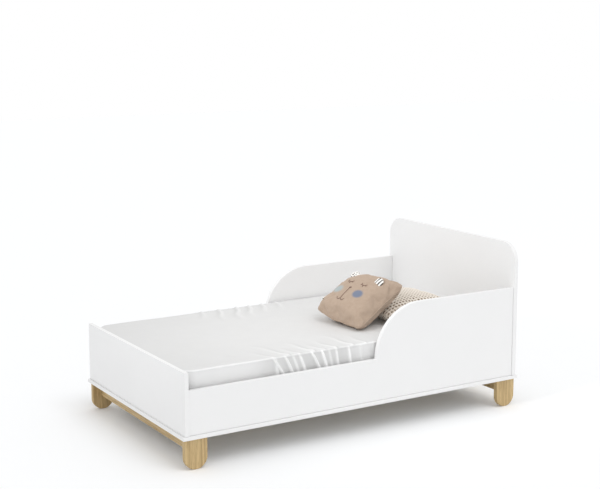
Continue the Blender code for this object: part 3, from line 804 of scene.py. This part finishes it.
FACE_TILT = 32.0
FACE_TURN = 6.0
FACE_ROLL = 3.0
FACE_STEPS = 56
FACE_SIZE = 0.246
FACE_THICK = 0.096
DROOP = (-0.010, -0.004, -0.020)
CURL = (0.014, 0.004, 0.008)
VELOUR_LIGHT = "#B5A18F"
VELOUR_DARK = "#AC9785"
VELOUR_SHEEN = "#EADACB"
VELOUR_NAP_MM = 14.0
VELOUR_PILE_MM = 1.5
CHEEK_BLUE = "#6C7990"
CHEEK_PALE = "#A3B0B3"
CHEEK_X = -0.021
CHEEK_APART = 0.053
CHEEK_HALF_HEIGHT = 0.0180
CHEEK_HALF_WIDTH = 0.0215
CHEEK_STRENGTH = 0.92
THREAD_BROWN = "#5C453A"
THREAD_SHINE = "#8A6D5C"
THREAD_TWIST_MM = 1.5
THREAD_RADIUS = 0.0013
WELT_RADIUS = 0.0017
EAR_WHITE = "#F0EEE9"
EAR_MARK = "#4A4644"
EAR_THREAD_MM = 1.2
FACE_MIDDLE = 0.014


def make_velour(name, with_cheeks):
    """Short-pile velour: soft, darker where the nap leans away, bright at grazing angles."""
    finish, tree, shader = new_finish(
        name, Roughness=0.9, Sheen_Weight=0.35, Sheen_Roughness=0.4,
        Sheen_Tint=linear(VELOUR_SHEEN))
    own = place(tree)
    leaning = map_range(tree, cloud(tree, own, VELOUR_NAP_MM, 4.0, 0.65), 0.3, 0.7)
    colour = blend(tree, leaning, VELOUR_DARK, VELOUR_LIGHT)
    if with_cheeks:
        front = add_node(tree, "ShaderNodeSeparateXYZ", {0: own}).outputs["Z"]
        above = calculate(tree, "GREATER_THAN", front, 0.0)
        half = (1 / CHEEK_HALF_HEIGHT, 1 / CHEEK_HALF_WIDTH, 0.0)
        for side, tint, edge in ((-1, CHEEK_BLUE, 0.45), (1, CHEEK_PALE, 0.6)):
            middle = (CHEEK_X, FACE_MIDDLE + side * CHEEK_APART, 0.0)
            oval = combine(tree, "MULTIPLY", combine(tree, "SUBTRACT", own, middle), half)
            reach = add_node(tree, "ShaderNodeVectorMath", {0: oval}, operation="LENGTH")
            inside = map_range(
                tree, reach.outputs["Value"], 1.0 + edge / 2, 1.0 - edge / 2, 0.0, CHEEK_STRENGTH)
            colour = blend(tree, calculate(tree, "MULTIPLY", inside, above), colour, tint)
    pile = cloud(tree, own, VELOUR_PILE_MM, 2.0, 0.8)
    plug(tree, shader, Base_Color=colour, Normal=relief(tree, pile, 0.5, 0.0006))
    return finish


def face_place():
    """Where the cushion lies and how it is turned."""
    low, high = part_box("face_cushion")
    return (
        Matrix.Translation((low + high) / 2)
        @ Matrix.Rotation(math.radians(FACE_TURN), 4, "Z")
        @ Matrix.Rotation(math.radians(-FACE_TILT), 4, "Y")
        @ Matrix.Rotation(math.radians(FACE_ROLL), 4, "X")
    )


def make_face_cushion():
    """The stuffed velour cover, without its trimmings. Its upper left corner droops and its lower
    left one curls up."""
    points, faces, rims = cushion_net(FACE_SIZE, FACE_THICK, FACE_STEPS)
    velour = make_velour("short_pile_beige_velour", True)
    piece = add_piece("velour_face_cushion", points, faces, velour)
    stuff(piece, CUSHION_PRESSURE, CUSHION_CAP, 0.04)
    pucker(piece, FACE_SIZE)
    for vert in piece.data.vertices:
        droop = smooth_step((vert.co.x - 0.02) / 0.10) * smooth_step(vert.co.y / 0.12)
        vert.co += Vector(DROOP) * droop
        curl = smooth_step((-0.02 - vert.co.x) / 0.10) * smooth_step((vert.co.y - 0.02) / 0.10)
        vert.co += Vector(CURL) * curl
    refine(piece)
    return piece, rims


face_cushion, face_rims = make_face_cushion()
face_cushion.matrix_world = face_place()
bpy.context.view_layer.update()
settle(face_cushion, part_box("face_cushion")[0].z, CUSHION_SAG * 0.6)
face_surface = BVHTree.FromObject(face_cushion, bpy.context.evaluated_depsgraph_get())


def sew_tube(name, spots, radius, finish, closed=False):
    """A round thread or welt along places on the cushion, as a mesh that goes with it."""
    line = bpy.data.curves.new(name, "CURVE")
    line.dimensions = "3D"
    line.bevel_depth = radius
    line.bevel_resolution = 2
    line.use_fill_caps = True
    spline = line.splines.new("POLY")
    spline.points.add(len(spots) - 1)
    spline.use_cyclic_u = closed
    for point, spot in zip(spline.points, spots):
        point.co = (*spot, 1.0)
    drawn = add_object(name, line)
    mesh = shown_mesh(drawn)
    bpy.data.objects.remove(drawn)
    bpy.data.curves.remove(line)
    mesh.name = name
    mesh.shade_smooth()
    mesh.materials.clear()
    mesh.materials.append(finish)
    add_object(name, mesh).parent = face_cushion


face_verts = face_cushion.data.vertices
face_seam = [(face_verts[low].co + face_verts[high].co) / 2 for low, high in zip(*face_rims)]
sew_tube("seam_welt", face_seam, WELT_RADIUS, make_velour("beige_velour_of_the_welt", False),
         closed=True)


def on_face(x, y, rise=0.0):
    """The point of the cushion's front at a place on it, raised a little along its normal."""
    spot, normal, _, _ = face_surface.ray_cast(Vector((x, y, 0.2)), Vector((0, 0, -1)))
    return spot + normal * rise, normal


def make_thread():
    """Twisted embroidery thread: brown cotton with a slight shine along the twist."""
    finish, tree, shader = new_finish("twisted_brown_thread", Roughness=0.6, Sheen_Weight=0.2)
    twist = cloud(tree, place(tree), THREAD_TWIST_MM, 1.0)
    plug(tree, shader, Base_Color=blend(tree, twist, THREAD_BROWN, THREAD_SHINE))
    return finish


thread = make_thread()


def stitch(name, places):
    """One line of satin stitch that follows the cushion's front."""
    spots = [on_face(x, y, THREAD_RADIUS * 0.4)[0] for x, y in places]
    sew_tube(name, spots, THREAD_RADIUS, thread)


def arch(middle_x, middle_y, width, drop, turn=0.0, steps=12):
    """Places along a shallow arch across the face, its ends lower than its middle."""
    places = []
    for k in range(steps + 1):
        t = 2 * k / steps - 1
        dx, dy = -drop * (1 - t * t), width / 2 * t
        places.append((middle_x + dx * math.cos(turn) - dy * math.sin(turn),
                       middle_y + dx * math.sin(turn) + dy * math.cos(turn)))
    return places


stitch("eye_stitch_right", arch(0.031, FACE_MIDDLE - 0.043, 0.026, 0.009))
stitch("eye_stitch_left", arch(0.031, FACE_MIDDLE + 0.027, 0.026, 0.009))
for number, offset in enumerate((-0.010, 0.0, 0.010)):
    for side, name in ((-1, "right"), (1, "left")):
        middle = FACE_MIDDLE - 0.008 + side * 0.035 + offset
        depth = 0.022 + 0.009 * (abs(offset) / 0.013) ** 2
        places = [(depth, middle), (depth - 0.006, middle + offset * 0.25)]
        stitch(f"lash_stitch_{name}_{number}", places)
stitch("nose_line_stitch", [(-0.006 - 0.056 * k / 10, FACE_MIDDLE + 0.002) for k in range(11)])
stitch("mouth_stitch_right", arch(-0.058, FACE_MIDDLE + 0.002 - 0.009, 0.018, 0.008))
stitch("mouth_stitch_left", arch(-0.058, FACE_MIDDLE + 0.002 + 0.009, 0.018, 0.008))


def make_nose():
    """A small round patch of satin stitch."""
    points, faces = [], []
    rings, around = 3, 16
    spot, normal = on_face(-0.003, FACE_MIDDLE + 0.002, 0.0018)
    points.append(spot)
    for r in range(1, rings + 1):
        for k in range(around):
            angle = 2 * math.pi * k / around
            x = -0.003 + 0.0052 * r / rings * math.cos(angle)
            y = FACE_MIDDLE + 0.002 + 0.0068 * r / rings * math.sin(angle)
            points.append(on_face(x, y, 0.0018 * (1 - (r / rings) ** 2) - 0.0002)[0])
    for k in range(around):
        n = (k + 1) % around
        faces.append((0, 1 + k, 1 + n))
        for r in range(rings - 1):
            a, b = 1 + r * around, 1 + (r + 1) * around
            faces.append((a + k, b + k, b + n, a + n))
    piece = add_piece("nose_stitch", points, faces, thread)
    piece.parent = face_cushion


make_nose()


def make_ear_cotton(name, striped):
    """Printed cotton for an ear: white, with dark spots or stripes."""
    finish, tree, shader = new_finish(name, Roughness=0.85, Sheen_Weight=0.1)
    own = place(tree)
    if striped:
        mark = add_node(tree, "ShaderNodeTexWave", {
            "Vector": own, "Scale": 26.0, "Distortion": 3.0, "Detail": 1.0,
            "Detail Scale": 1.5}, bands_direction="Y")
        shown = map_range(tree, mark.outputs["Fac"], 0.62, 0.72)
    else:
        mark = add_node(tree, "ShaderNodeTexVoronoi", {
            "Vector": own, "Scale": 110.0, "Randomness": 0.6})
        shown = map_range(tree, mark.outputs["Distance"], 0.34, 0.28)
    plug(tree, shader,
         Base_Color=blend(tree, shown, EAR_WHITE, EAR_MARK),
         Normal=relief(tree, cloud(tree, own, EAR_THREAD_MM, 2.0), 0.3, 0.0003))
    return finish


def soft_tab(name, width, length, thick, finish, bend=0.0, steps=14):
    """A small stuffed tab: half-round at its free end, open where it is sewn on."""
    points, faces = [], []
    rows = steps
    for face in (-1, 1):
        for i in range(rows + 1):
            t = i / rows
            half = width / 2 * math.sqrt(max(1 - max((t - 0.35) / 0.65, 0.0) ** 2.2, 0.0))
            for j in range(steps + 1):
                v = 2 * j / steps - 1
                puff = math.sqrt(max(1 - v ** 4, 0.0)) * math.sqrt(max(1 - t ** 6, 0.0))
                points.append((length * t, half * v, face * thick / 2 * puff + bend * t * t))
    count = (rows + 1) * (steps + 1)
    for side in (0, 1):
        for i in range(rows):
            for j in range(steps):
                a = side * count + i * (steps + 1) + j
                quad = (a, a + steps + 1, a + steps + 2, a + 1)
                faces.append(quad if side else quad[::-1])
    piece = add_piece(name, points, faces, finish)
    bm = bmesh.new()
    bm.from_mesh(piece.data)
    bmesh.ops.remove_doubles(bm, verts=bm.verts, dist=0.0001)
    bmesh.ops.holes_fill(bm, edges=[e for e in bm.edges if e.is_boundary])
    bmesh.ops.recalc_face_normals(bm, faces=bm.faces)
    bm.to_mesh(piece.data)
    bm.free()
    piece.data.shade_smooth()
    refine(piece)
    piece.parent = face_cushion
    return piece


def sew_on(piece, x, y, direction, lift, sink=0.004):
    """Stands a tab on the cushion's front: its root at a place, its free end in a direction, and
    lifted off the surface by an angle. Returns where that puts it on the cushion."""
    spot, normal = on_face(x, y, -sink)
    along = Vector((*direction, 0.0))
    along = (along - normal * along.dot(normal)).normalized()
    along = (along * math.cos(lift) + normal * math.sin(lift)).normalized()
    across = normal.cross(along).normalized()
    up = along.cross(across)
    stand = Matrix.Translation(spot) @ Matrix((along, across, up)).transposed().to_4x4()
    piece.matrix_local = stand
    return stand


striped = make_ear_cotton("striped_white_cotton", True)
ear_right = soft_tab("ear_striped", 0.040, 0.030, 0.008, striped)
sew_on(ear_right, 0.052, FACE_MIDDLE - 0.080, (0.9, -0.25), math.radians(22))
spotted = make_ear_cotton("spotted_white_cotton", False)
ear_left = soft_tab("ear_spotted", 0.040, 0.032, 0.008, spotted)
sew_on(ear_left, 0.068, FACE_MIDDLE + 0.062, (0.8, 0.45), math.radians(38))
paw = soft_tab("paw_sewn", 0.026, 0.056, 0.010, make_velour("beige_velour_of_the_paw", False))
paw_stand = sew_on(paw, -0.042, 0.102, (0.02, 1.0), math.radians(8))
spotted_too = make_ear_cotton("spotted_cotton_of_the_paw", False)
paw_tip = soft_tab("paw_tip_sewn", 0.028, 0.016, 0.012, spotted_too)
paw_tip.matrix_local = paw_stand @ Matrix.Translation((0.044, 0.0, 0.0))

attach(face_cushion, "face_cushion")
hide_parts("face_cushion")


# ==== Studio =================================================================================
# A plain white floor and background with soft light from all round, one very wide lamp high on the
# near side, a small gridded softbox over the foot end for the headboard's inside, and the camera.

FLOOR_REACH = 14.0
FLOOR_COLOUR = "#FBFCFD"
FLOOR_GLOW = 0.048
SKY_STRENGTH = 0.83
SUN_STRENGTH = 0.55
SUN_SPREAD = math.radians(30)
SUN_FROM = (0.12, -0.50, 0.86)
BOX_PLACE = (-1.30, -0.40, 1.45)
BOX_AIM = (0.66, 0.08, 0.30)
BOX_SIZE = 0.7
BOX_POWER = 1.4
BOX_BEAM = math.radians(62)
CAMERA_PLACE = (-2.31534, -3.73834, 1.37376)
CAMERA_PITCH = 81.114
CAMERA_YAW = -31.596
CAMERA_LENS = 75.0
CAMERA_SENSOR = 36.0
CAMERA_SHIFT_Y = -0.0399


def seen_directly(tree):
    """1 where the camera sees this, straight or by way of something, and 0 where it gives light."""
    ray = add_node(tree, "ShaderNodeLightPath").outputs
    seen = calculate(tree, "MAXIMUM", ray["Is Camera Ray"], ray["Is Glossy Ray"])
    return calculate(tree, "MAXIMUM", seen, ray["Is Transmission Ray"])


def make_floor():
    """White floor that takes the bed's shadow; the camera sees its lit part as plain white."""
    finish = bpy.data.materials.new("plain_white_floor")
    finish.use_nodes = True
    tree = finish.node_tree
    tree.nodes.clear()
    matt = add_node(tree, "ShaderNodeBsdfDiffuse", {"Color": linear(FLOOR_COLOUR)})
    strength = calculate(tree, "MULTIPLY", seen_directly(tree), FLOOR_GLOW)
    glow = add_node(tree, "ShaderNodeEmission", {"Strength": strength})
    both = add_node(tree, "ShaderNodeAddShader", {0: matt.outputs[0], 1: glow.outputs[0]})
    add_node(tree, "ShaderNodeOutputMaterial", {"Surface": both.outputs[0]})
    half = FLOOR_REACH
    corners = [(-half, -half, 0), (half, -half, 0), (half, half, 0), (-half, half, 0)]
    floor = add_piece("floor", corners, [(0, 1, 2, 3)], finish)


def make_sky():
    """Even light from every side, seen as white where nothing stands in front of it."""
    world = bpy.data.worlds.new("white_studio")
    bpy.context.scene.world = world
    world.use_nodes = True
    tree = world.node_tree
    tree.nodes.clear()
    strength = map_range(tree, seen_directly(tree), 0.0, 1.0, SKY_STRENGTH, 1.0)
    white = (1.0, 1.0, 1.0, 1.0)
    sky = add_node(tree, "ShaderNodeBackground", {"Color": white, "Strength": strength})
    add_node(tree, "ShaderNodeOutputWorld", {"Surface": sky.outputs[0]})


def add_sun(towards):
    """One very wide soft lamp, far off in a direction."""
    lamp = bpy.data.lights.new("wide_soft_lamp", "SUN")
    lamp.energy = SUN_STRENGTH
    lamp.angle = SUN_SPREAD
    holder = add_object("wide_soft_lamp", lamp)
    holder.rotation_euler = Vector(towards).to_track_quat("Z", "Y").to_euler()


def add_softbox():
    """A softbox with a grid, above the foot end, that lights the inside of the headboard."""
    lamp = bpy.data.lights.new("gridded_softbox", "AREA")
    lamp.shape = "DISK"
    lamp.size = BOX_SIZE
    lamp.energy = BOX_POWER
    lamp.spread = BOX_BEAM
    holder = add_object("gridded_softbox", lamp)
    holder.location = BOX_PLACE
    holder.rotation_euler = (Vector(BOX_PLACE) - Vector(BOX_AIM)).to_track_quat("Z", "Y").to_euler()
    holder.visible_camera = False


def add_camera():
    """Long lens from the foot end, slightly above the bed."""
    lens = bpy.data.cameras.new("camera")
    lens.lens = CAMERA_LENS
    lens.sensor_width = CAMERA_SENSOR
    lens.shift_y = CAMERA_SHIFT_Y
    lens.clip_end = 100.0
    camera = add_object("camera", lens)
    camera.location = CAMERA_PLACE
    camera.rotation_euler = (math.radians(CAMERA_PITCH), 0.0, math.radians(CAMERA_YAW))
    bpy.context.scene.camera = camera


make_floor()
make_sky()
add_sun(SUN_FROM)
add_softbox()
add_camera()
bpy.context.scene.view_settings.view_transform = "Standard"

bpy.context.view_layer.update()
